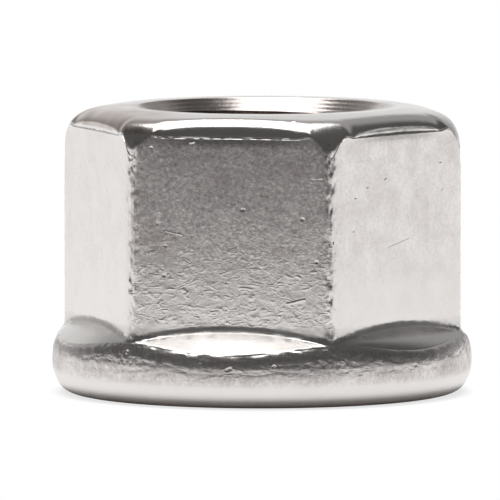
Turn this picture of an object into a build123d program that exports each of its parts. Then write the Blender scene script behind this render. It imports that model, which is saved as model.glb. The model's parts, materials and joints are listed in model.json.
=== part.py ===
"""Lock nut: a hexagon nut cold formed in one piece with its round flange and its domed crown.

Millimetres, +Z up. The origin is the centre of the bearing face, on the thread's axis,
which is Z. Two of the six flats are square to Y, so two corners lie on X.
"""
from build123d import *
from math import atan2, cos, degrees, hypot, radians, sqrt, tan
import os

# The hexagon
across_flats = 15.0       # the spanner size
height = 12.2             # bearing face to top land
corner_round = 0.45       # radius along the six upright corners

# The thread, left as a plain bore at its minor diameter
thread_major_d = 10.0
thread_pitch = 1.0
mouth_over = 0.6          # each mouth is wider than the thread's major diameter by this
mouth_deg = 45.0          # slope of the countersinks

# The crown: a top land, a shallow fall, a round shoulder, and a softer round over each flat
top_land = 0.9            # width of the flat ring round the upper mouth
crown_fall_deg = 8.0      # slope of the top outside that ring
shoulder_round = 1.5      # radius of the shoulder, seen at the corners
flat_round = 0.8          # radius from the top down into each flat
flat_round_over = 0.01    # that round starts this far above the crown's fall

# The flange: a round foot, a bulged rim and a skirt that climbs to the flats
flange_over = 0.37        # the rim stands this far outside the corners
lip_rise = 0.42           # height of the round under the rim
lip_inset = 0.26          # the round ends this far inside the widest point of the rim
rim_rise = 0.98           # from the end of that round up to the widest point
rim_round = 3.6           # radius of the rim above its widest point
ridge_rise = 0.73         # from the widest point up to the ridge below a flat's middle
ridge_round = 0.5         # radius of the ridge between rim and skirt
skirt_deg = 38.0          # slope of the skirt
skirt_axis = 4.0          # the skirt below a flat turns about an axis this far behind the bore's
skirt_blend = 0.62        # hollow radius where the skirt meets the flats and the corners

stock_over = 0.1          # the crown's blank stands this far outside the corners
fit_share = 0.9           # the shoulder takes at most this share of the crown's slope
spare = 1.0               # the skirt's stock runs past the flats and the rim by this much
tiny = 0.001              # slack when edges are told apart by their place

# Worked out from the sizes above
HALF_CORNER = radians(30)
flat_r = across_flats / 2
corner_r = (flat_r - corner_round) / cos(HALF_CORNER) + corner_round
thread_minor_r = (thread_major_d - 1.0825 * thread_pitch) / 2
mouth_r = (thread_major_d + mouth_over) / 2
mouth_depth = (mouth_r - thread_minor_r) * tan(radians(mouth_deg))
land_r = mouth_r + top_land
blank_r = corner_r + stock_over
crown_slope = (blank_r - land_r) / cos(radians(crown_fall_deg))
crown_turn = radians(90 - crown_fall_deg)
shoulder_r = min(shoulder_round, fit_share * crown_slope / tan(crown_turn / 2))
rim_r = corner_r + flange_over
rim_z = lip_rise + rim_rise
ridge_z = rim_z + ridge_rise
stock_top = rim_z + sqrt(rim_round ** 2 - (rim_round - rim_r + blank_r) ** 2)


def rim_reach(z):
    """Radius of the rim at a height above its widest point."""
    return rim_r - rim_round + sqrt(rim_round ** 2 - (z - rim_z) ** 2)


def turned(face):
    """The solid that a face, drawn as radius and height, sweeps round Z.

    Its seam lies along the middle of a flat, clear of the corners.
    """
    return Rot(0, 0, degrees(HALF_CORNER)) * revolve(Plane.XZ * face, Axis.Z)


def crown_blank():
    """Round blank above the rim, with the top land, the shallow fall and the round shoulder."""
    shoulder = (blank_r, height - (blank_r - land_r) * tan(radians(crown_fall_deg)))
    face = make_face(Polyline(
        (0, rim_z), (blank_r, rim_z), shoulder, (land_r, height), (0, height),
        close=True).edges())
    return turned(fillet(face.vertices().sort_by_distance(shoulder)[0], shoulder_r))


def flat_bar():
    """A bar across two opposite flats, its top sloped as the crown and rounded at both edges."""
    slope = tan(radians(crown_fall_deg))
    edge_z = height - (flat_r - land_r) * slope + flat_round_over
    face = make_face(Polyline(
        (-flat_r, rim_z), (flat_r, rim_z), (flat_r, edge_z), (0, edge_z + flat_r * slope),
        (-flat_r, edge_z), close=True).edges())
    edges = [face.vertices().sort_by_distance((x, edge_z))[0] for x in (-flat_r, flat_r)]
    return extrude(Plane.XZ * fillet(edges, flat_round), rim_r, both=True)


def hexagon():
    """The six flats and their rounded corners, cut off by the crown and by each pair's bar."""
    section = RegularPolygon(flat_r, 6, major_radius=False)
    prism = extrude(fillet(section.vertices(), corner_round), height - rim_z)
    body = Pos(0, 0, rim_z) * prism & crown_blank()
    for pair in range(3):
        body &= Rot(0, 0, 30 + 60 * pair) * flat_bar()
    return body


def skirt_stock():
    """Six cones, one below each flat, cut to each other so that they meet under the corners.

    Each turns about its own axis behind the bore's, so it is flatter round than the rim. They
    are carried on past the rim, to be cut back later.
    """
    slope = tan(radians(skirt_deg))
    ridge_r = rim_reach(ridge_z) + skirt_axis
    reach = (flat_r + skirt_axis - spare, rim_r + skirt_axis + spare)
    top, foot = (ridge_z + (ridge_r - r) * slope for r in reach)
    cone = revolve(Plane.XZ * make_face(Polyline(
        (0, 0), (reach[1], 0), (reach[1], foot), (reach[0], top), (0, top),
        close=True).edges()), Axis.Z)
    cones = [Rot(0, 0, 30 + 60 * side) * Pos(-skirt_axis, 0, 0) * cone for side in range(6)]
    stock = cones[0]
    for cone in cones[1:]:
        stock &= cone
    return stock


def flange_envelope():
    """Foot round and bulged rim, each tangent to the next, with clear room over them."""
    lip_r = rim_r - lip_inset
    lip_turn = degrees(atan2(lip_inset, rim_rise))
    foot_r = lip_r - lip_rise / tan(radians(45 - lip_turn))
    outline = Curve() + [
        Line((0, 0), (foot_r, 0)),
        TangentArc((foot_r, 0), (lip_r, lip_rise), tangent=(1, 0)),
        TangentArc((rim_r, rim_z), (lip_r, lip_rise), tangent=(0, -1)),
        TangentArc((rim_r, rim_z), (blank_r, stock_top), tangent=(0, 1)),
        Polyline((blank_r, stock_top), (blank_r, height), (0, height), (0, 0)),
    ]
    return turned(make_face(outline.edges()))


def bore():
    """The thread's core with a countersunk mouth at each end, as the solid to cut away."""
    return turned(make_face(Polyline(
        (0, 0), (mouth_r, 0), (thread_minor_r, mouth_depth),
        (thread_minor_r, height - mouth_depth), (mouth_r, height), (0, height),
        close=True).edges()))


def places(edge):
    """Radius and height of an edge's ends and middle."""
    points = [edge @ part for part in (0, 0.5, 1)]
    return [(hypot(point.X, point.Y), point.Z) for point in points]


def lies_on_sides(edge):
    """Whether an edge runs round the low end of the hexagon's flats and corners."""
    return all(flat_r - tiny < r < corner_r + tiny and rim_z < z < (rim_z + height) / 2
               for r, z in places(edge))


def lies_on_ridge(edge):
    """Whether an edge runs round the upper end of the rim, where the skirt cuts it off."""
    ends = [z for r, z in places(edge)]
    runs_up = min(ends) < rim_z + tiny
    return not runs_up and all(
        z < stock_top and abs(r - rim_reach(z)) < tiny for r, z in places(edge))


def lock_nut():
    """Hexagon and flange in one, with a hollow between them, a soft ridge and the bore."""
    body = hexagon() + skirt_stock()
    body = fillet([edge for edge in body.edges() if lies_on_sides(edge)], skirt_blend)
    body &= flange_envelope()
    body = fillet([edge for edge in body.edges() if lies_on_ridge(edge)], ridge_round)
    return body - bore()


os.makedirs("parts", exist_ok=True)
export_step(lock_nut(), "parts/lock_nut.step")
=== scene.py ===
"""The lock nut's finished look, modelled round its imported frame.

The nut is turned as a round blank, its six flats are pressed in, tumbling leaves its marks,
a tap cuts the helical thread, and the whole is nickel plated. A pale floor, a softbox, a dim
room and a long lens show it. The file is laid out as an add-on, is run as a script, and works
in metres.
"""
import json
from collections import namedtuple
from math import asin, atan2, cos, exp, hypot, pi, radians, sin, tan, tau

import bpy
from bpy.props import FloatProperty, FloatVectorProperty, IntProperty, PointerProperty
from mathutils import Euler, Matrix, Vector, noise


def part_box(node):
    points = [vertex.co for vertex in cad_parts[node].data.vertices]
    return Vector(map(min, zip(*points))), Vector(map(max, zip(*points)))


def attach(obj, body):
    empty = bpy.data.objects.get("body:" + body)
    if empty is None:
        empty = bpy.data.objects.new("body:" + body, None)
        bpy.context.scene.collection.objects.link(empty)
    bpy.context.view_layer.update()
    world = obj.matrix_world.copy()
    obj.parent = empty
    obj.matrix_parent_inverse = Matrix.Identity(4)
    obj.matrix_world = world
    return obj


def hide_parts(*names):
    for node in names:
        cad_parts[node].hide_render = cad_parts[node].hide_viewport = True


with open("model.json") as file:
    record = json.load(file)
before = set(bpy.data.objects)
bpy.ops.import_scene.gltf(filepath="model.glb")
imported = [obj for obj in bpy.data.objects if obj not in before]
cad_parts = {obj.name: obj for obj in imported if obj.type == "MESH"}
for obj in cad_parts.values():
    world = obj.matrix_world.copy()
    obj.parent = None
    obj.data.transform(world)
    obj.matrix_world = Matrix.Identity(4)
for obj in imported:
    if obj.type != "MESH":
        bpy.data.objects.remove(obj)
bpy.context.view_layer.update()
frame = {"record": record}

bl_info = {
    "name": "Lock nut",
    "version": (1, 0, 0),
    "blender": (4, 5, 0),
    "location": "3D View > Sidebar > Lock nut",
    "description": "Models a flanged lock nut with a domed crown and shows it on a pale floor",
    "category": "Object",
}

MM = 0.001
NUT_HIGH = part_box("lock_nut")[1]
MOUNTS = {mount["name"]: mount for mount in frame["record"]["mounts"]}
SIDE = tau / 6            # the corners stand at whole multiples of this angle, from +X

# For each flat, counted from +X: how worn it is, from 0 to 1, how high the facet at its top is
# and how many degrees that leans in, and whether the die has left a terrace along the ridge below
WEAR = (0.35, 0.5, 0.45, 0.1, 1.0, 0.35)
FACETS = (0.3 * MM, 0.2 * MM, 0.3 * MM, 0.25 * MM, 0.1 * MM, 0.27 * MM)
LEANS = (8.0, 7.0, 7.0, 5.0, 8.0, 8.0)
TERRACES = (0.0, 1.0, 0.0, 0.0, 0.0, 1.0)

# How badly tumbling has bitten each corner, counted from +X
BITES = (0.35, 0.5, 0.6, 0.35, 1.0, 1.0)

# The crown is stained brown round this azimuth, and painted darker there as painted shade
CROWN_STAIN_AND_SHADE = radians(212)

# Marks, in millimetres: flat, place right of its middle, height, length, tilt in degrees, half
# width, depth from -1 for a dent to 1 for a burr, and distance from the axis if not on the flat
MARKS = (
    (4, 3.67, 9.67, 0.50, 0, 0.025, 1.0),
    (4, 0.55, 8.32, 0.06, 0, 0.060, -1.0),
    (4, -3.07, 7.90, 0.45, 80, 0.040, -0.7),
    (4, -1.62, 11.15, 0.12, 15, 0.060, 1.0),
    (4, -2.40, 7.30, 0.70, -12, 0.025, 0.8),
    (4, 2.80, 4.47, 0.75, 14, 0.050, 1.0),
    (4, 0.19, 1.71, 0.15, 20, 0.070, -1.0, 8.93),
    (5, -0.82, 9.51, 0.10, 30, 0.055, -1.0),
    (5, -2.78, 8.79, 0.08, 0, 0.045, -0.8),
    (5, 2.97, 8.87, 0.12, 60, 0.050, -0.8),
    (5, 2.84, 10.00, 0.10, 0, 0.050, -0.8),
    (5, 0.07, 6.73, 1.40, 12, 0.020, -0.5),
    (3, -2.60, 4.23, 0.20, 40, 0.060, -1.0),
    (1, 1.90, 6.40, 0.90, -35, 0.030, -0.6),
    (0, -1.20, 7.80, 0.30, 20, 0.050, -0.8),
)


def linear(code):
    """An sRGB hex colour, such as #C8C5C0, as linear red, green, blue and alpha."""
    channels = [int(code[i:i + 2], 16) / 255 for i in (1, 3, 5)]
    return [c / 12.92 if c <= 0.04045 else ((c + 0.055) / 1.055) ** 2.4 for c in channels] + [1.0]


class NutShape(bpy.types.PropertyGroup):
    """Sizes of the forging: hexagon, crown, flange and bore."""

    height: FloatProperty(
        name="Height", description="Bearing face to top land", default=NUT_HIGH[2], unit="LENGTH")
    flat_r: FloatProperty(
        name="Half across flats", description="Axis to a flat", default=7.5 * MM, unit="LENGTH")
    corner_round: FloatProperty(
        name="Corner round", description="Radius along the upright corners",
        default=0.4 * MM, unit="LENGTH")
    rim_r: FloatProperty(
        name="Rim radius", description="Widest point of the flange", default=NUT_HIGH[0],
        unit="LENGTH")
    rim_z: FloatProperty(
        name="Rim height", description="Height of the widest point", default=1.4 * MM,
        unit="LENGTH")
    lip_inset: FloatProperty(
        name="Lip inset", description="The foot's round ends this far inside the rim",
        default=0.26 * MM, unit="LENGTH")
    lip_z: FloatProperty(
        name="Lip height", description="Height of the foot's round", default=0.42 * MM,
        unit="LENGTH")
    rim_round: FloatProperty(
        name="Rim round", description="Radius of the rim above its widest point",
        default=3.6 * MM, unit="LENGTH")
    ridge_z: FloatProperty(
        name="Ridge height", description="Height of the ridge below a flat's middle",
        default=2.13 * MM, unit="LENGTH")
    ridge_lift: FloatProperty(
        name="Ridge lift", description="The ridge stands this much higher at the corners",
        default=0.32 * MM, unit="LENGTH")
    root_z: FloatProperty(
        name="Skirt height", description="Height where the skirt meets a flat's middle",
        default=3.22 * MM, unit="LENGTH")
    root_drop: FloatProperty(
        name="Skirt drop", description="The skirt meets the corners this much lower",
        default=0.5 * MM, unit="LENGTH")
    skirt_hollow: FloatProperty(
        name="Skirt hollow", description="The hollow reaches this far up the flats",
        default=0.22 * MM, unit="LENGTH")
    corner_fade: FloatProperty(
        name="Corner fade", description="Radius of the upright corners just below the crown",
        default=0.6 * MM, unit="LENGTH")
    crown_r: FloatProperty(
        name="Crown radius", description="Axis to the shoulder's upper end over a flat",
        default=6.65 * MM, unit="LENGTH")
    crown_corner: FloatProperty(
        name="Crown corner round", description="Radius of the shoulder's upper end at a corner",
        default=4.5 * MM, unit="LENGTH")
    land_r: FloatProperty(
        name="Top land radius", description="Outside of the flat ring on top",
        default=6.2 * MM, unit="LENGTH")
    fall_angle: FloatProperty(
        name="Crown fall", description="Slope outside the top land", default=radians(8),
        subtype="ANGLE")
    shoulder_corner: FloatProperty(
        name="Shoulder at the corners", description="Depth of the shoulder at a corner",
        default=1.9 * MM, unit="LENGTH")
    shoulder_flat: FloatProperty(
        name="Shoulder on the flats", description="Depth of the shoulder over a flat",
        default=0.87 * MM, unit="LENGTH")
    facet_half: FloatProperty(
        name="Facet half length", description="Half the length of the facet over a flat",
        default=2.75 * MM, unit="LENGTH")
    facet_inset: FloatProperty(
        name="Facet inset", description="The facet stands this far behind the flat",
        default=0.07 * MM, unit="LENGTH")
    mouth_r: FloatProperty(
        name="Mouth radius", description="Outside of the countersinks", default=5.3 * MM,
        unit="LENGTH")
    core_r: FloatProperty(
        name="Core radius", description="The thread's minor radius",
        default=MOUNTS["thread"]["dims"]["r_mm"] * MM, unit="LENGTH")
    thread_r: FloatProperty(
        name="Thread radius", description="The thread's major radius", default=5.0 * MM,
        unit="LENGTH")
    pitch: FloatProperty(
        name="Pitch", description="Rise of the thread in a turn", default=1.0 * MM,
        unit="LENGTH")
    columns: IntProperty(
        name="Columns", description="Upright edges round the nut", default=480, min=60)


class NickelFinish(bpy.types.PropertyGroup):
    """Gloss and colours of the plating, with those of its painted shade."""

    roughness: FloatProperty(
        name="Roughness", description="Roughness of the polished crown", default=0.17,
        subtype="FACTOR")
    dull_gain: FloatProperty(
        name="Dull gain", description="Roughness that the dullest places have on top",
        default=0.26, subtype="FACTOR")
    bright: FloatVectorProperty(
        name="Bright", description="Colour of the unworn plating", default=linear("#E9E5E2"),
        size=4, subtype="COLOR")
    # the worn colour is also the painted shade's colour in the bore and towards the tops of the
    # flats
    worn: FloatVectorProperty(
        name="Worn", description="Colour of the worn plating", default=linear("#ACA1A1"),
        size=4, subtype="COLOR")
    # the brown of the painted shade at the foot and in the bore, and of the stain on the crown
    brown_stain_and_shade: FloatVectorProperty(
        name="Stained", description="Colour of the brown stains", default=linear("#8A6C58"),
        size=4, subtype="COLOR")


class StageSetting(bpy.types.PropertyGroup):
    """Place of the camera, size of the lamp, and reach and colour of the floor."""

    azimuth: FloatProperty(
        name="Azimuth", description="The camera stands this far round from -Y",
        default=radians(10.26), subtype="ANGLE")
    elevation: FloatProperty(
        name="Elevation", description="The camera stands this far above the nut",
        default=radians(4.7), subtype="ANGLE")
    distance: FloatProperty(
        name="Distance", description="Camera to the nut's middle", default=0.442,
        unit="LENGTH")
    lens: FloatProperty(
        name="Lens", description="Focal length in millimetres", default=745.5)
    shift_x: FloatProperty(
        name="Shift to the side", description="Shift of the frame, as a share of its width",
        default=-0.024)
    shift_y: FloatProperty(
        name="Shift upwards", description="Shift of the frame, as a share of its width",
        default=-0.004)
    softbox: FloatProperty(
        name="Softbox", description="Depth of the lamp overhead", default=0.295, unit="LENGTH")
    softbox_wide: FloatProperty(
        name="Softbox width", description="Width of the lamp overhead", default=0.23,
        unit="LENGTH")
    floor_front: FloatProperty(
        name="Floor to the front", description="The floor ends this far before the nut",
        default=0.062, unit="LENGTH")
    card: FloatVectorProperty(
        name="Card", description="Colour of the floor", default=linear("#F4F4F4"), size=4,
        subtype="COLOR")


# ---- the outline of a section ----

def bezier(start, start_handle, end_handle, end, count):
    """Points of a cubic curve, without its start."""
    points = []
    for step in range(1, count + 1):
        t = step / count
        weights = ((1 - t) ** 3, 3 * t * (1 - t) ** 2, 3 * t * t * (1 - t), t ** 3)
        corners = (start, start_handle, end_handle, end)
        points.append(tuple(sum(w * c[axis] for w, c in zip(weights, corners)) for axis in (0, 1)))
    return points


def round_over(start, corner, end, bend, count):
    """Points of a curve that rounds a corner off, without its start.

    Its handles reach a share, bend, of the way to the corner.
    """
    from_start, from_end = (
        tuple(c - (1 - bend) * (c - p) for p, c in zip(point, corner)) for point in (start, end))
    return bezier(start, from_start, from_end, end, count)


def straight(start, end, count):
    """Evenly spaced points of a straight run, without its start."""
    return [blend(start, end, step / count) for step in range(1, count + 1)]


def blend(start, end, share):
    """The point at a share of the way from one point to another."""
    return tuple(a + share * (b - a) for a, b in zip(start, end))


def tangent_arc(start, end, direction, count):
    """Points of the arc that leaves start along a unit direction and ends at end."""
    chord = (end[0] - start[0], end[1] - start[1])
    side = (-direction[1], direction[0])
    radius = (chord[0] ** 2 + chord[1] ** 2) / (2 * (chord[0] * side[0] + chord[1] * side[1]))
    turn = 2 * atan2(direction[0] * chord[1] - direction[1] * chord[0],
                     direction[0] * chord[0] + direction[1] * chord[1])
    points = []
    for step in range(1, count + 1):
        angle = turn * step / count
        along, across = radius * sin(angle), radius * (1 - cos(angle))
        points.append((start[0] + along * direction[0] + across * side[0],
                       start[1] + along * direction[1] + across * side[1]))
    return points


def from_corner(azimuth):
    """Angle from an azimuth to the nearest corner."""
    return abs((azimuth + SIDE / 2) % SIDE - SIDE / 2)


def hexagon_reach(azimuth, flat_r, corner_round):
    """Distance from the axis to a hexagon's side, corners rounded, and that at a corner."""
    half = SIDE / 2
    off = from_corner(azimuth)
    centre = (flat_r - corner_round) / cos(half)
    tip = centre + corner_round
    edge = atan2(corner_round * sin(half), centre + corner_round * cos(half))
    if off > edge:
        return flat_r / cos(half - off), tip
    across = centre * sin(off)
    return centre * cos(off) + (corner_round ** 2 - across ** 2) ** 0.5, tip


def smooth_step(value, low, high):
    """0 below low, 1 above high, and a smooth rise between."""
    t = min(1.0, max(0.0, (value - low) / (high - low)))
    return t * t * (3 - 2 * t)


# How many rows of points each zone of a section has, from the bearing face round to the core
ROWS = {"under": 2, "foot": 7, "lip": 8, "rim": 10, "ridge": 6, "terrace": 2, "skirt": 2,
        "hollow": 7, "wall": 50, "fade": 8, "roll": 4, "step": 3, "facet": 3, "shoulder": 14,
        "fall": 3, "land": 2, "mouth": 3, "ripple": 20, "sink": 2, "core": 1}


def flat_value(values, azimuth):
    """The value that belongs to the flat at an azimuth."""
    return values[int(azimuth % tau / SIDE)]


def rim_reach(height, shape):
    """Radius of the rim at a height above its widest point."""
    return shape.rim_r - shape.rim_round + (
        shape.rim_round ** 2 - (height - shape.rim_z) ** 2) ** 0.5


def turned_shoulder(reach, start, tip, fall, shape):
    """The shoulder as a lathe leaves it, from a reach inwards to its start on the crown.

    It is a superellipse that hangs from the crown's fall and would end upright just outside
    the corners.
    """
    power = 2.6
    clear = 0.02 * MM
    span = tip + clear - start[0]
    share = (tip - start[0]) / span
    depth = start[1] - (tip - start[0]) * fall - (shape.height - shape.shoulder_corner)
    depth /= 1 - (1 - share ** power) ** (1 / power)
    steepest = asin(((reach - start[0]) / span) ** (power / 2))
    points = []
    for step in range(ROWS["shoulder"] + 1):
        angle = steepest * (1 - step / ROWS["shoulder"])
        out = span * sin(angle) ** (2 / power)
        points.append((start[0] + out,
                       start[1] - out * fall - depth * (1 - cos(angle) ** (2 / power))))
    return points


def add(outline, zone, points):
    """Carries an outline on through points that belong to a zone."""
    outline.extend((r, z, zone) for r, z in points)


def add_foot(outline, shape):
    """Bearing face, foot and lip, up to the rim's widest point."""
    lip = (shape.rim_r - shape.lip_inset, shape.lip_z)
    lip_turn = atan2(shape.lip_inset, shape.rim_z - shape.lip_z)
    foot = (lip[0] - shape.lip_z / tan(pi / 4 - lip_turn), 0.0)
    rim = (shape.rim_r, shape.rim_z)
    add(outline, "under", [(shape.mouth_r, 0.0)])
    add(outline, "under", straight((shape.mouth_r, 0.0), foot, ROWS["under"]))
    add(outline, "foot", tangent_arc(foot, lip, (1, 0), ROWS["foot"]))
    add(outline, "lip", tangent_arc(rim, lip, (0, -1), ROWS["lip"])[-2::-1] + [rim])


def add_skirt(outline, azimuth, shape):
    """Rim, ridge, terrace, skirt and hollow, up to the flat.

    The ridge rises towards the corners, and the skirt's root falls towards them.
    """
    reach, tip = hexagon_reach(azimuth, shape.flat_r, shape.corner_round)
    off = abs(azimuth % SIDE - SIDE / 2)          # angle from the nearest flat's middle
    along = reach * sin(off)                      # the same as a length on the flat
    ridge_z = shape.ridge_z + shape.ridge_lift * (1 - cos(6 * off)) / 2
    ridge = (rim_reach(ridge_z, shape), ridge_z)
    root = (reach, shape.root_z - shape.root_drop * (along / (tip * sin(SIDE / 2))) ** 2)
    run = hypot(ridge[0] - root[0], ridge[1] - root[1])
    slope = ((root[0] - ridge[0]) / run, (root[1] - ridge[1]) / run)

    # the ridge is soft, and its round ends further down the rim than up the skirt
    below = ridge_z - 0.38 * MM
    above = min(0.22 * MM, 0.3 * run)
    bend = 0.6
    heights = straight((shape.rim_z,), (below,), ROWS["rim"])
    add(outline, "rim", [(rim_reach(z, shape), z) for z, in heights])
    skirt_start = (ridge[0] + above * slope[0], ridge[1] + above * slope[1])
    add(outline, "ridge", round_over(
        (rim_reach(below, shape), below), ridge, skirt_start, bend, ROWS["ridge"]))

    # the terrace is widest below the flat's middle and runs out towards the corners
    wide = min(0.1 * MM, 0.2 * run)
    reaches, tread, levelled = radians(24), 0.75, 0.9
    stands = flat_value(TERRACES, azimuth) * max(0.0, 1 - (off / reaches) ** 2)
    climb = -slope[1] / slope[0] * wide
    edge = (skirt_start[0] - tread * wide,
            skirt_start[1] + tread * climb * (1 - levelled * stands))
    add(outline, "terrace", straight(skirt_start, edge, ROWS["terrace"]))
    skirt_start = (skirt_start[0] - wide, skirt_start[1] + climb)
    add(outline, "terrace", [skirt_start])

    hollow = shape.skirt_hollow
    outwards = min(hollow, 0.55 * run)
    skirt_end = (root[0] - outwards * slope[0], root[1] - outwards * slope[1])
    add(outline, "skirt", straight(skirt_start, skirt_end, ROWS["skirt"]))
    add(outline, "hollow", round_over(
        skirt_end, root, (reach, root[1] + hollow), bend, ROWS["hollow"]))


def add_crown(outline, azimuth, shape):
    """Flat and shoulder, up to the top land.

    The flat's top rolls in and steps back to a facet with the outline of a lens. The shoulder
    is pressed over the flats and as turned at the corners.
    """
    reach, tip = hexagon_reach(azimuth, shape.flat_r, shape.corner_round)
    high_reach = hexagon_reach(azimuth, shape.flat_r, shape.corner_fade)[0]
    along = reach * sin(abs(azimuth % SIDE - SIDE / 2))
    lens = max(0.0, 1 - (along / shape.facet_half) ** 2) ** 0.5
    fall = tan(shape.fall_angle)
    start_r = hexagon_reach(azimuth, shape.crown_r, shape.crown_corner)[0]
    start = (start_r, shape.height - (start_r - shape.land_r) * fall)
    turned = turned_shoulder(high_reach, start, tip, fall, shape)
    at_corner = smooth_step(along, 2.9 * MM, 3.7 * MM)
    step_z = shape.height - shape.shoulder_flat
    step_z += at_corner * (turned[0][1] - step_z)

    # below the step the corners lose some of their sharpness, and the flat rolls in
    least_inset = 0.35
    inset = shape.facet_inset * (least_inset + (1 - least_inset) * lens)
    fade_foot = (reach, step_z - 1.3 * MM)
    roll_foot = (high_reach, step_z - 0.42 * MM)
    roll_top = (high_reach - 0.4 * inset, step_z - 0.06 * MM)
    add(outline, "wall", straight(outline[-1][:2], fade_foot, ROWS["wall"]))
    add(outline, "fade", bezier(
        fade_foot, (reach, fade_foot[1] + 0.4 * MM), (high_reach, roll_foot[1] - 0.3 * MM),
        roll_foot, ROWS["fade"]))
    add(outline, "roll", bezier(
        roll_foot, (high_reach, roll_foot[1] + 0.18 * MM),
        (roll_top[0] + 0.15 * inset, roll_top[1] - 0.12 * MM), roll_top, ROWS["roll"]))
    facet_foot = (high_reach - inset, step_z)
    add(outline, "step", straight(roll_top, facet_foot, ROWS["step"]))

    # beside the lens the facet is all but gone, and leans in as the turned shoulder does
    least_rise, beside = 0.01 * MM, 9.0
    rise = flat_value(FACETS, azimuth) * lens + least_rise
    lean = radians(flat_value(LEANS, azimuth) * lens + beside * (1 - lens))
    facet_top = (facet_foot[0] - rise * tan(lean), facet_foot[1] + rise)
    add(outline, "facet", straight(facet_foot, facet_top, ROWS["facet"]))

    # the shoulder leaves the facet along its lean and ends along the crown's fall
    bend = 0.55
    span = facet_top[0] - start_r
    drop = start[1] - span * fall - facet_top[1]
    pressed = bezier(
        facet_top, (facet_top[0] - bend * drop * tan(lean), facet_top[1] + bend * drop),
        (start_r + bend * span, start[1] - bend * span * fall), start, ROWS["shoulder"])
    add(outline, "shoulder", [
        blend(*places, at_corner) for places in zip(pressed, turned[1:])])
    add(outline, "fall", straight(start, (shape.land_r, shape.height), ROWS["fall"]))


def add_bore(outline, shape):
    """Top land, a soft edge at the mouth, the countersinks and the core between them."""
    edge = 0.06 * MM
    down = 0.7 * edge
    land_end = (shape.mouth_r + edge, shape.height)
    inside = (shape.mouth_r - down, shape.height - down)
    sink = shape.mouth_r - shape.core_r
    core_top = (shape.core_r, shape.height - sink)
    core_foot = (shape.core_r, sink)
    add(outline, "land", straight((shape.land_r, shape.height), land_end, ROWS["land"]))
    add(outline, "mouth", round_over(
        land_end, (shape.mouth_r, shape.height), inside, 1.0, ROWS["mouth"]))

    # the countersinking tool has left rings in the upper mouth, cut square to its slope
    rings, deep, square = 5, 0.007 * MM, 0.7
    for step, (r, z) in enumerate(straight(inside, core_top, ROWS["ripple"])):
        cut = deep * (0.5 - 0.5 * cos(tau * rings * (step + 1) / ROWS["ripple"]))
        add(outline, "sink", [(r + cut * square, z - cut * square)])
    add(outline, "core", straight(core_top, core_foot, ROWS["core"]))
    add(outline, "sink", straight(core_foot, (shape.mouth_r, 0.0), ROWS["sink"])[:-1])


def section(azimuth, shape):
    """The nut's closed outline at an azimuth, as a list of (radius, height, zone)."""
    outline = []
    add_foot(outline, shape)
    add_skirt(outline, azimuth, shape)
    add_crown(outline, azimuth, shape)
    add_bore(outline, shape)
    return outline


# ---- modelling ----

def deselect_all():
    """Leaves edit mode and deselects every object."""
    if bpy.context.object and bpy.context.object.mode != "OBJECT":
        bpy.ops.object.mode_set(mode="OBJECT")
    bpy.ops.object.select_all(action="DESELECT")


def draw_outline(name, points, closed):
    """A new object whose mesh is one wire, drawn by extruding a vertex in the XZ plane."""
    deselect_all()
    bpy.ops.mesh.primitive_plane_add(size=MM, location=(points[0][0], 0, points[0][1]))
    wire = bpy.context.object
    wire.name = wire.data.name = name
    bpy.ops.object.transform_apply()
    bpy.ops.object.mode_set(mode="EDIT")
    bpy.ops.mesh.select_mode(type="VERT")
    bpy.ops.mesh.select_all(action="SELECT")
    bpy.ops.mesh.merge(type="CENTER")
    for before, after in zip(points, points[1:]):
        step = (after[0] - before[0], 0, after[1] - before[1])
        bpy.ops.mesh.extrude_region_move(TRANSFORM_OT_translate={"value": step})
    if closed:
        bpy.ops.object.mode_set(mode="OBJECT")
        wire.data.vertices[0].select = True
        bpy.ops.object.mode_set(mode="EDIT")
        bpy.ops.mesh.edge_face_add()
    bpy.ops.object.mode_set(mode="OBJECT")
    return wire


def turn_blank(shape):
    """The round blank: the section at a corner, spun round the axis."""
    seam = 0.0001 * MM
    outline = section(0.0, shape)
    blank = draw_outline("lock_nut_body", [point[:2] for point in outline], closed=True)
    row = blank.data.attributes.new("row", "INT", "POINT")
    row.data.foreach_set("value", range(len(outline)))
    bpy.ops.object.mode_set(mode="EDIT")
    bpy.ops.mesh.select_all(action="SELECT")
    bpy.ops.mesh.spin(steps=shape.columns, angle=tau, center=(0, 0, 0), axis=(0, 0, 1))
    bpy.ops.mesh.select_all(action="SELECT")
    bpy.ops.mesh.remove_doubles(threshold=seam)
    bpy.ops.mesh.normals_make_consistent(inside=False)
    bpy.ops.object.mode_set(mode="OBJECT")
    return blank


def ragged(spot, size):
    """Sharp-edged noise from 0 to 1, with lumps of about a size in metres."""
    place = spot / size
    return 1 - abs(noise.noise(place) + 0.5 * noise.noise(2.1 * place))


def lumps(spot, size):
    """Soft noise from 0 to 1, with lumps of about a size in metres."""
    return 0.5 + 0.5 * noise.noise(spot / size)


def wrinkled(spot):
    """Depth of the wrinkles on a fully worn flat. They lie level and are deepest at its foot."""
    level = Vector((spot.x, spot.y, 2.6 * spot.z))
    foot, fading = 3.6 * MM, 2.4 * MM
    low = exp(-max(0.0, spot.z - foot) / fading)
    deep = (0.001 + 0.012 * low) * MM
    return deep * ragged(level, 0.45 * MM) ** 3


def bitten(spot, azimuth, shape):
    """Depth of the bites along a corner."""
    half_wide, deep = 0.26 * MM, 0.11 * MM
    reach = hexagon_reach(azimuth, shape.flat_r, shape.corner_round)[0]
    near = exp(-(reach * from_corner(azimuth) / half_wide) ** 2)
    corner = BITES[int((azimuth / SIDE + 0.5) % 6)]
    uneven = 0.5 + abs(noise.noise(spot / (0.9 * MM)))
    beads = 0.5 * ragged(spot, 0.3 * MM) ** 2 + 0.5 * ragged(spot, 0.17 * MM) ** 2
    return deep * near * corner * uneven * beads


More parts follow.
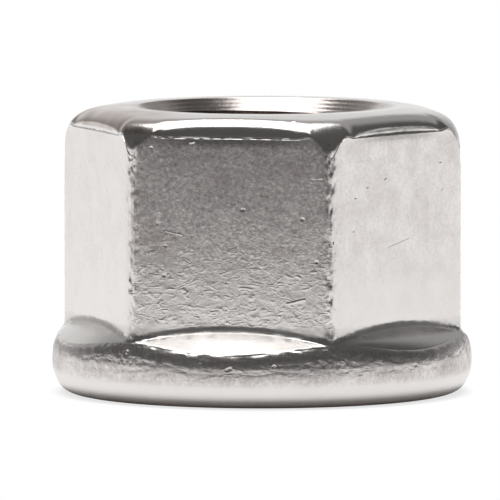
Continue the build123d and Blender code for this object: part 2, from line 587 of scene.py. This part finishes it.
def crumpled(spot):
    """Depth of the crumpled line round the rim, a little above its widest point."""
    line_z, half_wide, deep = 1.52 * MM, 0.2 * MM, 0.018 * MM
    level = Vector((spot.x, spot.y, 3 * spot.z))
    near = exp(-((spot.z - line_z) / half_wide) ** 2)
    return deep * near * ragged(level, 0.7 * MM) ** 2


def relief(spot, azimuth, zone, shape):
    """Depth of the tumbling's marks at a place on the nut, always inwards."""
    wear = flat_value(WEAR, azimuth)
    peel = lumps(spot, 0.35 * MM)
    depth = 0.0

    # the flats are peeled and wrinkled as they are worn, the corners bitten, the rim crumpled
    if zone in ("wall", "fade", "roll", "facet"):
        depth += wear * (0.003 * MM * peel + wrinkled(spot))
    if zone in ("wall", "fade", "roll", "step", "facet"):
        depth += bitten(spot, azimuth, shape)
    if zone in ("rim", "ridge", "lip"):
        depth += 0.007 * MM * peel + crumpled(spot)
    if zone in ("rim", "ridge"):
        upper = smooth_step(spot.z, 1.65 * MM, 1.9 * MM)
        depth += 0.03 * MM * upper * ragged(spot, 0.26 * MM) ** 3

    # the step is torn and the facet lumpy, and the crown and the skirt are nearly smooth
    if zone == "step":
        depth += 0.035 * MM * lumps(spot, 0.18 * MM)
    if zone == "facet":
        depth += 0.012 * MM * lumps(spot, 0.22 * MM)
    if zone in ("shoulder", "fall", "land"):
        depth += 0.003 * MM * peel
    if zone == "skirt":
        depth += 0.002 * MM * peel
    if zone == "hollow":
        depth += 0.02 * MM * ragged(spot, 0.3 * MM) ** 2
    return depth


def press_flats(blank, shape):
    """Moves each vertex of the blank to the section at its own azimuth, and roughens it."""
    crowding = 0.6        # how much closer the columns stand at the corners
    digits = 5            # columns whose azimuths agree to this many share a section
    sections = {}
    rows = [item.value for item in blank.data.attributes["row"].data]
    for vertex, row in zip(blank.data.vertices, rows):
        turned = atan2(vertex.co.y, vertex.co.x)
        azimuth = turned - crowding / 6 * sin(6 * turned)
        key = round(azimuth, digits)
        if key not in sections:
            sections[key] = section(azimuth, shape)
        outline = sections[key]
        radius, height, zone = outline[row]
        before, after = outline[row - 1], outline[(row + 1) % len(outline)]
        run = hypot(after[0] - before[0], after[1] - before[1])
        facing = ((after[1] - before[1]) / run, (before[0] - after[0]) / run)
        spot = Vector((radius * cos(azimuth), radius * sin(azimuth), height))
        depth = relief(spot, azimuth, zone, shape)
        radius -= depth * facing[0]
        height -= depth * facing[1]
        vertex.co = (radius * cos(azimuth), radius * sin(azimuth), height)
    blank.data.update()


# How worn, dull and rough the plating is at a place, how much of the darker tint it takes, partly
# worn plating and partly painted shade, and how brown it is, mostly painted shade, each from 0 to 1
Finish = namedtuple("Finish", "wear dull rough stain brown", defaults=[0.0] * 5)


def flange_finish(spot):
    """The finish of the rim and the foot: rough above the rim's widest point, and at the foot
    browner and darker with painted shade.
    """
    # above its lower band the rim takes the darker tint in grains
    band = smooth_step(spot.z, 0.85 * MM, 1.15 * MM)
    ridge = smooth_step(spot.z, 1.7 * MM, 1.85 * MM)
    # the foot is painted brown and dark where it meets the floor: painted shade
    foot = 1 - smooth_step(spot.z, 0.04 * MM, 0.22 * MM)
    return Finish(wear=0.5 * band, dull=0.5 + 0.1 * band, rough=0.15 + 0.65 * band + 0.2 * ridge,
                  stain=0.75 * band, brown=0.6 * foot)


def flat_finish(spot, azimuth, crown_z, shape):
    """The finish of a flat, its hollow and the shoulder over it, up to the crown's height."""
    wear = flat_value(WEAR, azimuth)
    below_crown = smooth_step(crown_z - spot.z, 0.0, 0.5 * MM)
    hollow = 1 - smooth_step(spot.z, 3.2 * MM, 3.5 * MM)
    reach = hexagon_reach(azimuth, shape.flat_r, shape.corner_round)[0]
    at_corner = exp(-(reach * from_corner(azimuth) / (0.25 * MM)) ** 2)
    crown_rough, flat_rough = 0.22, 0.13 + 0.45 * wear
    rough = crown_rough + (flat_rough - crown_rough) * below_crown
    # the darker tint rises towards the top of a worn flat; that rise is painted shade over the worn
    # grains
    stain = wear * smooth_step(spot.z, 3.8 * MM, 7.5 * MM)
    return Finish(wear=wear * (1 - hollow), dull=max(0.33 * below_crown, 0.8 * hollow),
                  rough=max(rough, 0.8 * hollow, 0.9 * at_corner), stain=stain * below_crown)


def finish_at(spot, shape):
    """The finish at a place on the nut, by the part of it that the place lies on."""
    out = hypot(spot.x, spot.y)
    azimuth = atan2(spot.y, spot.x)
    bore_r, bore_z = shape.mouth_r + 0.1 * MM, 0.1 * MM
    crown_z = shape.height - 0.75 * MM
    flats_z, skirt_z = 2.95 * MM, 1.9 * MM
    if out < bore_r and spot.z > bore_z:
        # inside the bore the plating is painted darker and browner: painted shade in the recess
        return Finish(wear=0.2, dull=0.25, rough=0.25, stain=0.4, brown=0.3)
    if spot.z > crown_z:
        # on one side the crown is painted browner and darker: a brown stain, deepened as painted
        # shade
        patch = smooth_step(cos(azimuth - CROWN_STAIN_AND_SHADE), 0.72, 0.95)
        return Finish(rough=0.22, brown=patch * (0.5 + 0.3 * noise.noise(spot / (0.9 * MM))))
    if spot.z >= flats_z:
        return flat_finish(spot, azimuth, crown_z, shape)
    inside_rim = rim_reach(max(shape.rim_z, spot.z), shape) - 0.09 * MM
    if out < inside_rim and spot.z > skirt_z:
        return Finish(dull=0.1, rough=0.14)
    return flange_finish(spot)


def stamp_wear_and_shade(nut, shape):
    """Writes the finish at each vertex, painted shade included, into attributes, for the plating to
    read.
    """
    finish = [finish_at(vertex.co, shape) for vertex in nut.data.vertices]
    for name in Finish._fields:
        layer = nut.data.attributes.new(name, "FLOAT", "POINT")
        layer.data.foreach_set("value", [getattr(values, name) for values in finish])


def tap(shape):
    """The tap: a 60 degree thread, one pitch of it turned up the axis and closed at its ends."""
    clear = 0.06 * MM         # the tap stands this far inside the core
    turns_below, turns_over, steps_a_turn = 2.35, 4, 120
    seam = 0.001 * MM
    inside = shape.core_r - clear
    flank = (shape.thread_r - inside) * tan(radians(30))
    root = shape.pitch / 16
    middle = shape.pitch / 2
    outline = [(inside, 0), (inside, middle - root - flank), (shape.thread_r, middle - root),
               (shape.thread_r, middle + root), (inside, middle + root + flank),
               (inside, shape.pitch)]
    below = turns_below * shape.pitch
    cutter = draw_outline("tap", [(r, z - below) for r, z in outline], closed=False)
    helix = cutter.modifiers.new("Helix", "SCREW")
    helix.angle = tau
    helix.screw_offset = shape.pitch
    helix.iterations = int(shape.height / shape.pitch) + turns_over
    helix.steps = helix.render_steps = steps_a_turn
    helix.use_merge_vertices = True
    helix.merge_threshold = seam
    bpy.ops.object.modifier_apply(modifier="Helix")
    for top in (False, True):
        close_end(cutter, shape.height / 2, top)
    bpy.ops.object.mode_set(mode="EDIT")
    bpy.ops.mesh.select_all(action="SELECT")
    bpy.ops.mesh.normals_make_consistent(inside=False)
    bpy.ops.object.mode_set(mode="OBJECT")
    return cutter


def close_end(cutter, middle, top):
    """Closes one end of the tap: its open edges are extruded and merged to a point."""
    bpy.ops.object.mode_set(mode="EDIT")
    bpy.ops.mesh.select_mode(type="EDGE")
    bpy.ops.mesh.select_all(action="DESELECT")
    bpy.ops.mesh.select_non_manifold(
        use_wire=False, use_boundary=True, use_multi_face=False, use_non_contiguous=False,
        use_verts=False)
    bpy.ops.object.mode_set(mode="OBJECT")
    mesh = cutter.data
    for edge in mesh.edges:
        here = (mesh.vertices[edge.vertices[0]].co.z > middle) == top
        edge.select = edge.select and here
    for vertex in mesh.vertices:
        vertex.select = False
    for edge in mesh.edges:
        if edge.select:
            for index in edge.vertices:
                mesh.vertices[index].select = True
    bpy.ops.object.mode_set(mode="EDIT")
    bpy.ops.mesh.extrude_edges_move()
    bpy.ops.mesh.merge(type="CENTER")
    bpy.ops.object.mode_set(mode="OBJECT")


def cut_thread(nut, shape):
    """Cuts the helical thread with the tap."""
    cutter = tap(shape)
    deselect_all()
    bpy.context.view_layer.objects.active = nut
    nut.select_set(True)
    cut = nut.modifiers.new("Tap", "BOOLEAN")
    cut.operation = "DIFFERENCE"
    cut.solver = "EXACT"
    cut.object = cutter
    bpy.ops.object.modifier_apply(modifier="Tap")
    bpy.data.objects.remove(cutter)

    # the cut leaves slivers where the tap grazes the bore's edges
    sliver = 0.0006 * MM
    bpy.ops.object.mode_set(mode="EDIT")
    bpy.ops.mesh.select_mode(type="VERT")
    bpy.ops.mesh.select_all(action="SELECT")
    bpy.ops.mesh.remove_doubles(threshold=sliver)
    bpy.ops.mesh.dissolve_degenerate(threshold=sliver)
    bpy.ops.mesh.normals_make_consistent(inside=False)
    bpy.ops.object.mode_set(mode="OBJECT")


# ---- material ----

def add_node(tree, kind, inputs=(), **settings):
    """Adds a node, sets its properties and its inputs, and links the inputs that are sockets."""
    node = tree.nodes.new(kind)
    for name, value in settings.items():
        setattr(node, name, value)
    for key, value in dict(inputs).items():
        if isinstance(value, bpy.types.NodeSocket):
            tree.links.new(value, node.inputs[key])
        else:
            node.inputs[key].default_value = value
    return node


def scratch(tree, place, flat, along, up, length, tilt, half_width, depth, out=7.5):
    """The relief of one mark: a short groove or burr on a flat, with soft edges."""
    level_to, ends_at, strength = 0.3, 1.5, 1.8
    facing = (flat + 0.5) * SIDE
    right = Vector((-sin(facing), cos(facing), 0))
    middle = out * MM * Vector((cos(facing), sin(facing), 0)) + along * MM * right
    middle.z = up * MM
    reach = length * MM * (cos(radians(tilt)) * right + Vector((0, 0, sin(radians(tilt)))))
    start = middle - reach / 2
    offset = add_node(tree, "ShaderNodeVectorMath", {0: place, 1: start},
                      operation="SUBTRACT").outputs[0]
    share = add_node(tree, "ShaderNodeVectorMath", {0: offset, 1: reach / reach.length_squared},
                     operation="DOT_PRODUCT").outputs["Value"]
    share = add_node(tree, "ShaderNodeClamp", {0: share}).outputs[0]
    nearest = add_node(tree, "ShaderNodeVectorMath", {0: reach, 3: share},
                       operation="SCALE").outputs[0]
    away = add_node(tree, "ShaderNodeVectorMath", {0: offset, 1: nearest},
                    operation="DISTANCE").outputs["Value"]
    return add_node(tree, "ShaderNodeMapRange", {
        "Value": away, "From Min": level_to * half_width * MM,
        "From Max": ends_at * half_width * MM, "To Min": strength * depth, "To Max": 0.0},
        interpolation_type="SMOOTHSTEP").outputs[0]


def tumbled_surface(tree, place, wear):
    """The height of what tumbling leaves: an orange peel, wrinkles, pits and single marks."""
    peel_size, wrinkle_size, pit_spacing = 0.2 * MM, 0.42 * MM, 1.5 * MM
    height = add_node(tree, "ShaderNodeSeparateXYZ", {0: place}).outputs["Z"]
    peel = add_node(tree, "ShaderNodeTexNoise", {
        "Vector": place, "Scale": 1 / peel_size, "Detail": 5.0, "Roughness": 0.65}).outputs["Fac"]
    fine = add_node(tree, "ShaderNodeMath", {0: peel, 1: 0.6}, operation="MULTIPLY").outputs[0]

    # the wrinkles grow towards the foot of each flat
    drawn = add_node(tree, "ShaderNodeMapping", {"Vector": place, "Scale": (1.0, 1.0, 1.9)})
    wrinkles = add_node(tree, "ShaderNodeTexNoise", {
        "Vector": drawn.outputs[0], "Scale": 1 / wrinkle_size, "Detail": 3.0,
        "Distortion": 1.2}, noise_type="RIDGED_MULTIFRACTAL").outputs["Fac"]
    low = add_node(tree, "ShaderNodeMapRange", {
        "Value": height, "From Min": 9.0 * MM, "From Max": 3.8 * MM, "To Min": 0.04,
        "To Max": 1.0}, interpolation_type="SMOOTHSTEP").outputs[0]
    worn = add_node(tree, "ShaderNodeMath", {0: wear, 1: low}, operation="MULTIPLY").outputs[0]
    creased = add_node(tree, "ShaderNodeMath", {0: wrinkles, 1: worn},
                       operation="MULTIPLY").outputs[0]
    surface = add_node(tree, "ShaderNodeMath", {0: creased, 1: fine}, operation="ADD").outputs[0]

    pits = add_node(tree, "ShaderNodeTexVoronoi", {
        "Vector": place, "Scale": 1 / pit_spacing}).outputs["Distance"]
    pitted = add_node(tree, "ShaderNodeMapRange", {
        "Value": pits, "From Min": 0.03, "From Max": 0.07, "To Min": -1.4,
        "To Max": 0.0}).outputs[0]
    for mark in [pitted] + [scratch(tree, place, *mark) for mark in MARKS]:
        surface = add_node(tree, "ShaderNodeMath", {0: mark, 1: surface},
                           operation="ADD").outputs[0]
    return surface


def nickel_plated_steel(look):
    """Cold-formed steel, tumbled and bright nickel plated: a clear but slightly soft mirror."""
    patch_size, grain_size, relief_depth = 1.3 * MM, 0.16 * MM, 0.025 * MM
    material = bpy.data.materials.new("nickel_plated_steel")
    material.use_nodes = True
    tree = material.node_tree
    tree.nodes.clear()
    place = add_node(tree, "ShaderNodeTexCoord").outputs["Object"]
    wear, dull, rough, stain, brown = (
        add_node(tree, "ShaderNodeAttribute", attribute_name=name).outputs["Fac"]
        for name in Finish._fields)
    bump = add_node(tree, "ShaderNodeBump", {
        "Height": tumbled_surface(tree, place, wear), "Strength": rough,
        "Distance": relief_depth}).outputs[0]

    # the gloss varies over patches of a millimetre or two, and the hollows are dull
    patches = add_node(tree, "ShaderNodeTexNoise", {
        "Vector": place, "Scale": 1 / patch_size, "Detail": 6.0, "Roughness": 0.7}).outputs["Fac"]
    gloss = add_node(tree, "ShaderNodeMapRange", {
        "Value": patches, "From Min": 0.3, "From Max": 0.7, "To Min": look.roughness - 0.04,
        "To Max": look.roughness + 0.05}).outputs[0]
    roughness = add_node(tree, "ShaderNodeMath", {0: dull, 1: look.dull_gain, 2: gloss},
                         operation="MULTIPLY_ADD").outputs[0]

    # worn plating is a shade darker and warmer, in grains that gather in the same patches; the same
    # tint is painted shade in the bore and towards the tops of the worn flats
    grain = add_node(tree, "ShaderNodeTexNoise", {
        "Vector": place, "Scale": 1 / grain_size, "Detail": 4.0, "Roughness": 0.7}).outputs["Fac"]
    gathered = add_node(tree, "ShaderNodeMath", {0: grain, 1: patches},
                        operation="ADD").outputs[0]
    shade = add_node(tree, "ShaderNodeMapRange", {
        "Value": gathered, "From Min": 0.8, "From Max": 1.25}).outputs[0]
    tint = add_node(tree, "ShaderNodeMath", {0: shade, 1: stain}, operation="MULTIPLY").outputs[0]
    colour = add_node(tree, "ShaderNodeMix", {"Factor": tint, "A": look.bright, "B": look.worn},
                      data_type="RGBA").outputs["Result"]

    # painted brown shade lies in the bore and along the foot, and a brown stain, deepened as
    # painted shade, on one side of the crown
    colour = add_node(tree, "ShaderNodeMix", {"Factor": brown, "A": colour, "B": look.brown_stain_and_shade},
                      data_type="RGBA").outputs["Result"]
    shader = add_node(tree, "ShaderNodeBsdfPrincipled", {
        "Base Color": colour, "Metallic": 1.0, "Roughness": roughness, "Normal": bump})
    add_node(tree, "ShaderNodeOutputMaterial", {"Surface": shader.outputs["BSDF"]})
    return material


# ---- operators ----

class LOCKNUT_OT_nut(bpy.types.Operator):
    """Models the nut: blank, flats, marks, thread and plating"""

    bl_idname = "lock_nut.nut"
    bl_label = "Nut"

    def execute(self, context):
        shape = context.scene.lock_nut_shape
        nut = turn_blank(shape)
        press_flats(nut, shape)
        cut_thread(nut, shape)
        stamp_wear_and_shade(nut, shape)
        bpy.ops.object.shade_smooth_by_angle(angle=radians(35))
        nut.data.materials.append(nickel_plated_steel(context.scene.lock_nut_finish))
        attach(nut, "root")
        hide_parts("lock_nut")
        return {"FINISHED"}


class LOCKNUT_OT_stage(bpy.types.Operator):
    """Sets the floor, the lights and the camera"""

    bl_idname = "lock_nut.stage"
    bl_label = "Stage"

    def execute(self, context):
        setting = context.scene.lock_nut_stage
        floor = lay_floor(setting)
        hang_softbox(setting)
        light_world(setting)
        aim_camera(context, setting)
        context.scene.view_settings.view_transform = "Standard"
        return {"FINISHED"}


def front_direction(setting):
    """Level direction from the nut towards the camera."""
    return Vector((sin(setting.azimuth), -cos(setting.azimuth), 0))


def right_direction(setting):
    """Level direction to the camera's right."""
    return Vector((cos(setting.azimuth), sin(setting.azimuth), 0))


def lay_floor(setting):
    """A white card under the nut. It ends a little way in front, and the dim room shows there."""
    deselect_all()
    size = 1.2
    below = 0.02 * MM             # the card must not share the bearing face's plane
    to_middle = size / 2 - setting.floor_front
    middle = -to_middle * front_direction(setting) - Vector((0, 0, below))
    bpy.ops.mesh.primitive_plane_add(
        size=size, location=middle, rotation=(0, 0, setting.azimuth))
    floor = bpy.context.object
    floor.name = floor.data.name = "floor_card"
    bpy.ops.object.transform_apply()
    floor.data.materials.append(white_card(setting))
    return floor


def white_card(setting):
    """Matt white card. Near the nut it keeps the shadow, and it is white as the backdrop beyond."""
    material = bpy.data.materials.new("white_card")
    material.use_nodes = True
    tree = material.node_tree
    tree.nodes.clear()
    place = add_node(tree, "ShaderNodeTexCoord").outputs["Object"]
    out = add_node(tree, "ShaderNodeVectorMath", {0: place}, operation="LENGTH").outputs["Value"]
    rays = add_node(tree, "ShaderNodeLightPath").outputs

    # to each kind of ray it glows white from the far distance on, and up to the near one it does
    # so by the least share only
    share = 0.0
    for ray, near, far, least in (("Is Camera Ray", 8.4 * MM, 9.2 * MM, 0.75),
                                  ("Is Glossy Ray", 8.5 * MM, 9.4 * MM, 0.05),
                                  ("Is Transmission Ray", 8.4 * MM, 9.2 * MM, 0.75)):
        fade = add_node(tree, "ShaderNodeMapRange", {
            "Value": out, "From Min": near, "From Max": far, "To Min": least, "To Max": 1.0},
            interpolation_type="SMOOTHSTEP").outputs[0]
        seen = add_node(tree, "ShaderNodeMath", {0: rays[ray], 1: fade},
                        operation="MULTIPLY").outputs[0]
        share = add_node(tree, "ShaderNodeMath", {0: share, 1: seen},
                         operation="MAXIMUM").outputs[0]
    paper = add_node(tree, "ShaderNodeBsdfDiffuse", {"Color": setting.card})
    white = add_node(tree, "ShaderNodeEmission", {"Strength": 1.0})
    mixed = add_node(tree, "ShaderNodeMixShader", {
        0: share, 1: paper.outputs[0], 2: white.outputs[0]})
    add_node(tree, "ShaderNodeOutputMaterial", {"Surface": mixed.outputs[0]})
    return material


def hang_softbox(setting):
    """A softbox overhead, a little behind the nut and to its left."""
    deselect_all()
    behind, left, up = 0.0725, 0.045, 0.3
    radiance = 2.7
    spot = -behind * front_direction(setting) - left * right_direction(setting)
    spot.z = up
    bpy.ops.object.light_add(type="AREA", location=spot, rotation=(0, 0, setting.azimuth))
    lamp = bpy.context.object
    lamp.name = "softbox"
    lamp.data.shape = "RECTANGLE"
    lamp.data.size = setting.softbox_wide
    lamp.data.size_y = setting.softbox
    lamp.data.energy = radiance * pi * setting.softbox * setting.softbox_wide
    lamp.visible_camera = False


def light_world(setting):
    """A room that is white to the camera, and dim with a low white skirting to all else."""
    world = bpy.context.scene.world or bpy.data.worlds.new("studio")
    bpy.context.scene.world = world
    world.use_nodes = True
    tree = world.node_tree
    tree.nodes.clear()
    way = add_node(tree, "ShaderNodeTexCoord").outputs["Generated"]
    height = add_node(tree, "ShaderNodeSeparateXYZ", {0: way}).outputs["Z"]
    front = front_direction(setting)

    def facing(direction):
        return add_node(tree, "ShaderNodeVectorMath", {0: way, 1: direction},
                        operation="DOT_PRODUCT").outputs["Value"]

    # the walls are dark, greyer behind the nut, with a pale glow behind it on the left
    walls = add_node(tree, "ShaderNodeMapRange", {
        "Value": facing(-front), "From Min": 0.34, "From Max": 0.64, "To Min": 0.085,
        "To Max": 0.34}, interpolation_type="SMOOTHSTEP").outputs[0]
    glow_up, glow_left = radians(10), radians(8)
    turned = Euler((glow_up, 0, setting.azimuth + glow_left)).to_matrix()
    glow = add_node(tree, "ShaderNodeMapRange", {
        "Value": facing(turned @ Vector((0, 1, 0))), "From Min": 0.86, "From Max": 1.0,
        "To Min": 0.0, "To Max": 0.46}, interpolation_type="SMOOTHSTEP").outputs[0]
    walls = add_node(tree, "ShaderNodeMath", {0: walls, 1: glow}, operation="ADD").outputs[0]

    # low down the room is white all round, except towards the camera
    skirting = add_node(tree, "ShaderNodeMapRange", {
        "Value": facing(front), "From Min": 0.5, "From Max": 0.85, "To Min": 1.0,
        "To Max": 0.16}, interpolation_type="SMOOTHSTEP").outputs[0]
    low = add_node(tree, "ShaderNodeMapRange", {
        "Value": height, "From Min": 0.02, "From Max": 0.13, "To Min": 1.0, "To Max": 0.0},
        interpolation_type="SMOOTHSTEP").outputs[0]
    level = add_node(tree, "ShaderNodeMix", {0: low, 2: walls, 3: skirting}).outputs[0]
    room = add_node(tree, "ShaderNodeBackground", {"Color": (1, 1, 1, 1), "Strength": level})
    white = add_node(tree, "ShaderNodeBackground", {"Color": (1, 1, 1, 1), "Strength": 1.0})
    seen = add_node(tree, "ShaderNodeLightPath").outputs["Is Camera Ray"]
    mixed = add_node(tree, "ShaderNodeMixShader", {
        0: seen, 1: room.outputs[0], 2: white.outputs[0]})
    add_node(tree, "ShaderNodeOutputWorld", {"Surface": mixed.outputs[0]})


def aim_camera(context, setting):
    """A long lens, aimed from a little above at the nut's middle."""
    deselect_all()
    middle = Vector((0, 0, NUT_HIGH[2] / 2))
    level = front_direction(setting)
    away = level * cos(setting.elevation) + Vector((0, 0, sin(setting.elevation)))
    bpy.ops.object.camera_add(
        location=middle + setting.distance * away,
        rotation=(pi / 2 - setting.elevation, 0, setting.azimuth))
    camera = bpy.context.object
    camera.data.lens = setting.lens
    camera.data.clip_start = 0.01
    camera.data.shift_x = setting.shift_x
    camera.data.shift_y = setting.shift_y
    context.scene.camera = camera


class LOCKNUT_PT_panel(bpy.types.Panel):
    """Lists the operators"""

    bl_label = "Lock nut"
    bl_idname = "LOCKNUT_PT_panel"
    bl_space_type = "VIEW_3D"
    bl_region_type = "UI"
    bl_category = "Lock nut"

    def draw(self, context):
        for operator in (LOCKNUT_OT_nut, LOCKNUT_OT_stage):
            self.layout.operator(operator.bl_idname)


CLASSES = (NutShape, NickelFinish, StageSetting, LOCKNUT_OT_nut, LOCKNUT_OT_stage,
           LOCKNUT_PT_panel)


def register():
    for item in CLASSES:
        bpy.utils.register_class(item)
    bpy.types.Scene.lock_nut_shape = PointerProperty(type=NutShape)
    bpy.types.Scene.lock_nut_finish = PointerProperty(type=NickelFinish)
    bpy.types.Scene.lock_nut_stage = PointerProperty(type=StageSetting)


def unregister():
    del bpy.types.Scene.lock_nut_stage
    del bpy.types.Scene.lock_nut_finish
    del bpy.types.Scene.lock_nut_shape
    for item in reversed(CLASSES):
        bpy.utils.unregister_class(item)


def main():
    """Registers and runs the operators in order."""
    register()
    bpy.ops.lock_nut.nut()
    bpy.ops.lock_nut.stage()


if __name__ == "__main__":
    main()
